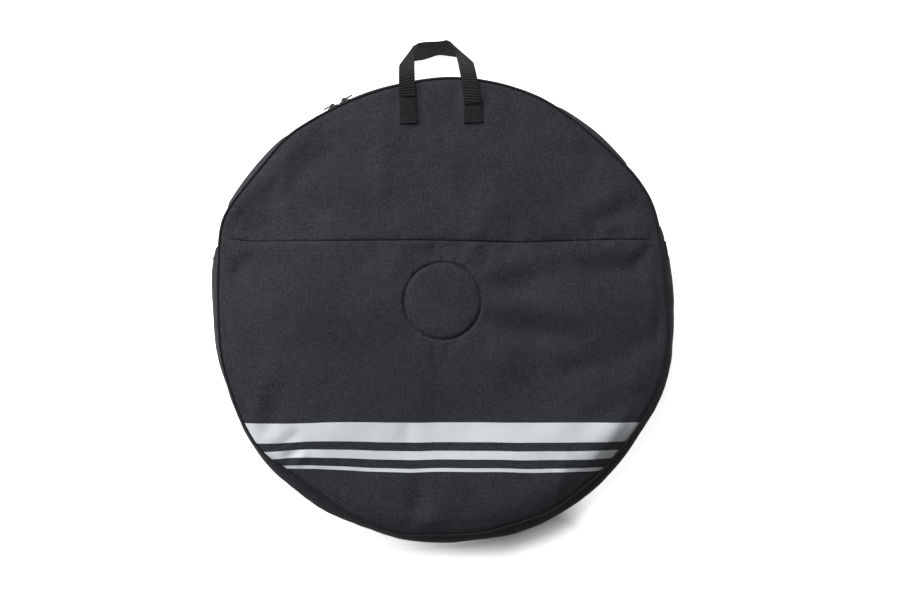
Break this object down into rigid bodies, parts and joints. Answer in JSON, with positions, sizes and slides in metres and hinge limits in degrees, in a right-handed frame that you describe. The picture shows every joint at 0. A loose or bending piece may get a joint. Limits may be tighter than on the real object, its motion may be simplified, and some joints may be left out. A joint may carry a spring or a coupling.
{
  "type": "bike wheel bag",
  "caption": "Round flat padded fabric bag for a bicycle wheel, with a zipped flap above a straight fold seam and a short webbing handle.",
  "frame": {"origin": "centre of the back panel's outer face, which the bag lies on", "axes": "+Z out of the front panel, +Y towards the handle, +X to the right as seen from the front"},
  "size_m": [0.7682, 0.8311, 0.0539],
  "materials": {
    "bag_fabric": "coarse dark grey woven polyester, matt",
    "lining_fabric": "thin smooth grey woven lining, matt",
    "padding": "closed-cell foam sheet, matt",
    "patch_plastic": "stiff plastic sheet, matt",
    "webbing": "ribbed dark webbing, matt",
    "zip_tape": "knitted black tape, matt",
    "zip_plastic": "moulded black plastic, satin",
    "slider_metal": "die-cast metal painted black, semi-gloss"
  },
  "bodies": {
    "bag_body": {"back_panel_shell": "bag_fabric", "back_panel_foam": "padding", "back_panel_lining": "lining_fabric", "back_hub_plate": "patch_plastic", "front_panel_shell": "bag_fabric", "front_panel_foam": "padding", "front_panel_lining": "lining_fabric", "front_hub_plate": "patch_plastic", "fold_tape": "zip_tape", "back_piping": "bag_fabric", "front_piping": "bag_fabric", "gusset": "bag_fabric", "gusset_lining": "lining_fabric", "zip_strip_back": "bag_fabric", "zip_tape_back": "zip_tape", "zip_teeth_back": "zip_plastic", "zip_stop_back_left": "slider_metal", "zip_stop_back_right": "slider_metal", "zip_end_tab_left": "bag_fabric", "zip_end_tab_right": "bag_fabric"},
    "front_flap": {"flap_shell": "bag_fabric", "flap_foam": "padding", "flap_lining": "lining_fabric", "flap_piping": "bag_fabric", "zip_strip_front": "bag_fabric", "zip_tape_front": "zip_tape", "zip_teeth_front": "zip_plastic", "zip_stop_front_left": "slider_metal", "zip_stop_front_right": "slider_metal", "handle_tab_left": "webbing", "handle_tab_right": "webbing"},
    "handle": {"handle_webbing": "webbing"},
    "slider_left": {"zip_slider_left": "slider_metal"},
    "slider_right": {"zip_slider_right": "slider_metal"},
    "pull_left": {"pull_tab_left": "slider_metal"},
    "pull_right": {"pull_tab_right": "slider_metal"}
  },
  "joints": [
    {"name": "flap_fold", "type": "hinge", "parent": "bag_body", "child": "front_flap", "pos_m": [0, 0.11, 0.0506], "axis": [1, 0, 0], "range_deg": [0, 140]},
    {"name": "handle_swing", "type": "hinge", "parent": "front_flap", "child": "handle", "pos_m": [-0.0045, 0.343, 0.0542], "axis": [1, 0, 0], "range_deg": [0, 175]},
    {"name": "slider_left_run", "type": "hinge", "parent": "bag_body", "child": "slider_left", "pos_m": [0, 0, 0.025], "axis": [0, 0, 1], "range_deg": [0, 41.5]},
    {"name": "slider_right_run", "type": "hinge", "parent": "bag_body", "child": "slider_right", "pos_m": [0, 0, 0.025], "axis": [0, 0, 1], "range_deg": [-95.5, 0]},
    {"name": "pull_left_flip", "type": "hinge", "parent": "slider_left", "child": "pull_left", "pos_m": [-0.1812, 0.33236, 0.025], "axis": [0, 0, 1], "range_deg": [-120, 0]},
    {"name": "pull_right_flip", "type": "hinge", "parent": "slider_right", "child": "pull_right", "pos_m": [-0.16238, 0.34195, 0.025], "axis": [0, 0, 1], "range_deg": [0, 120]}
  ]
}
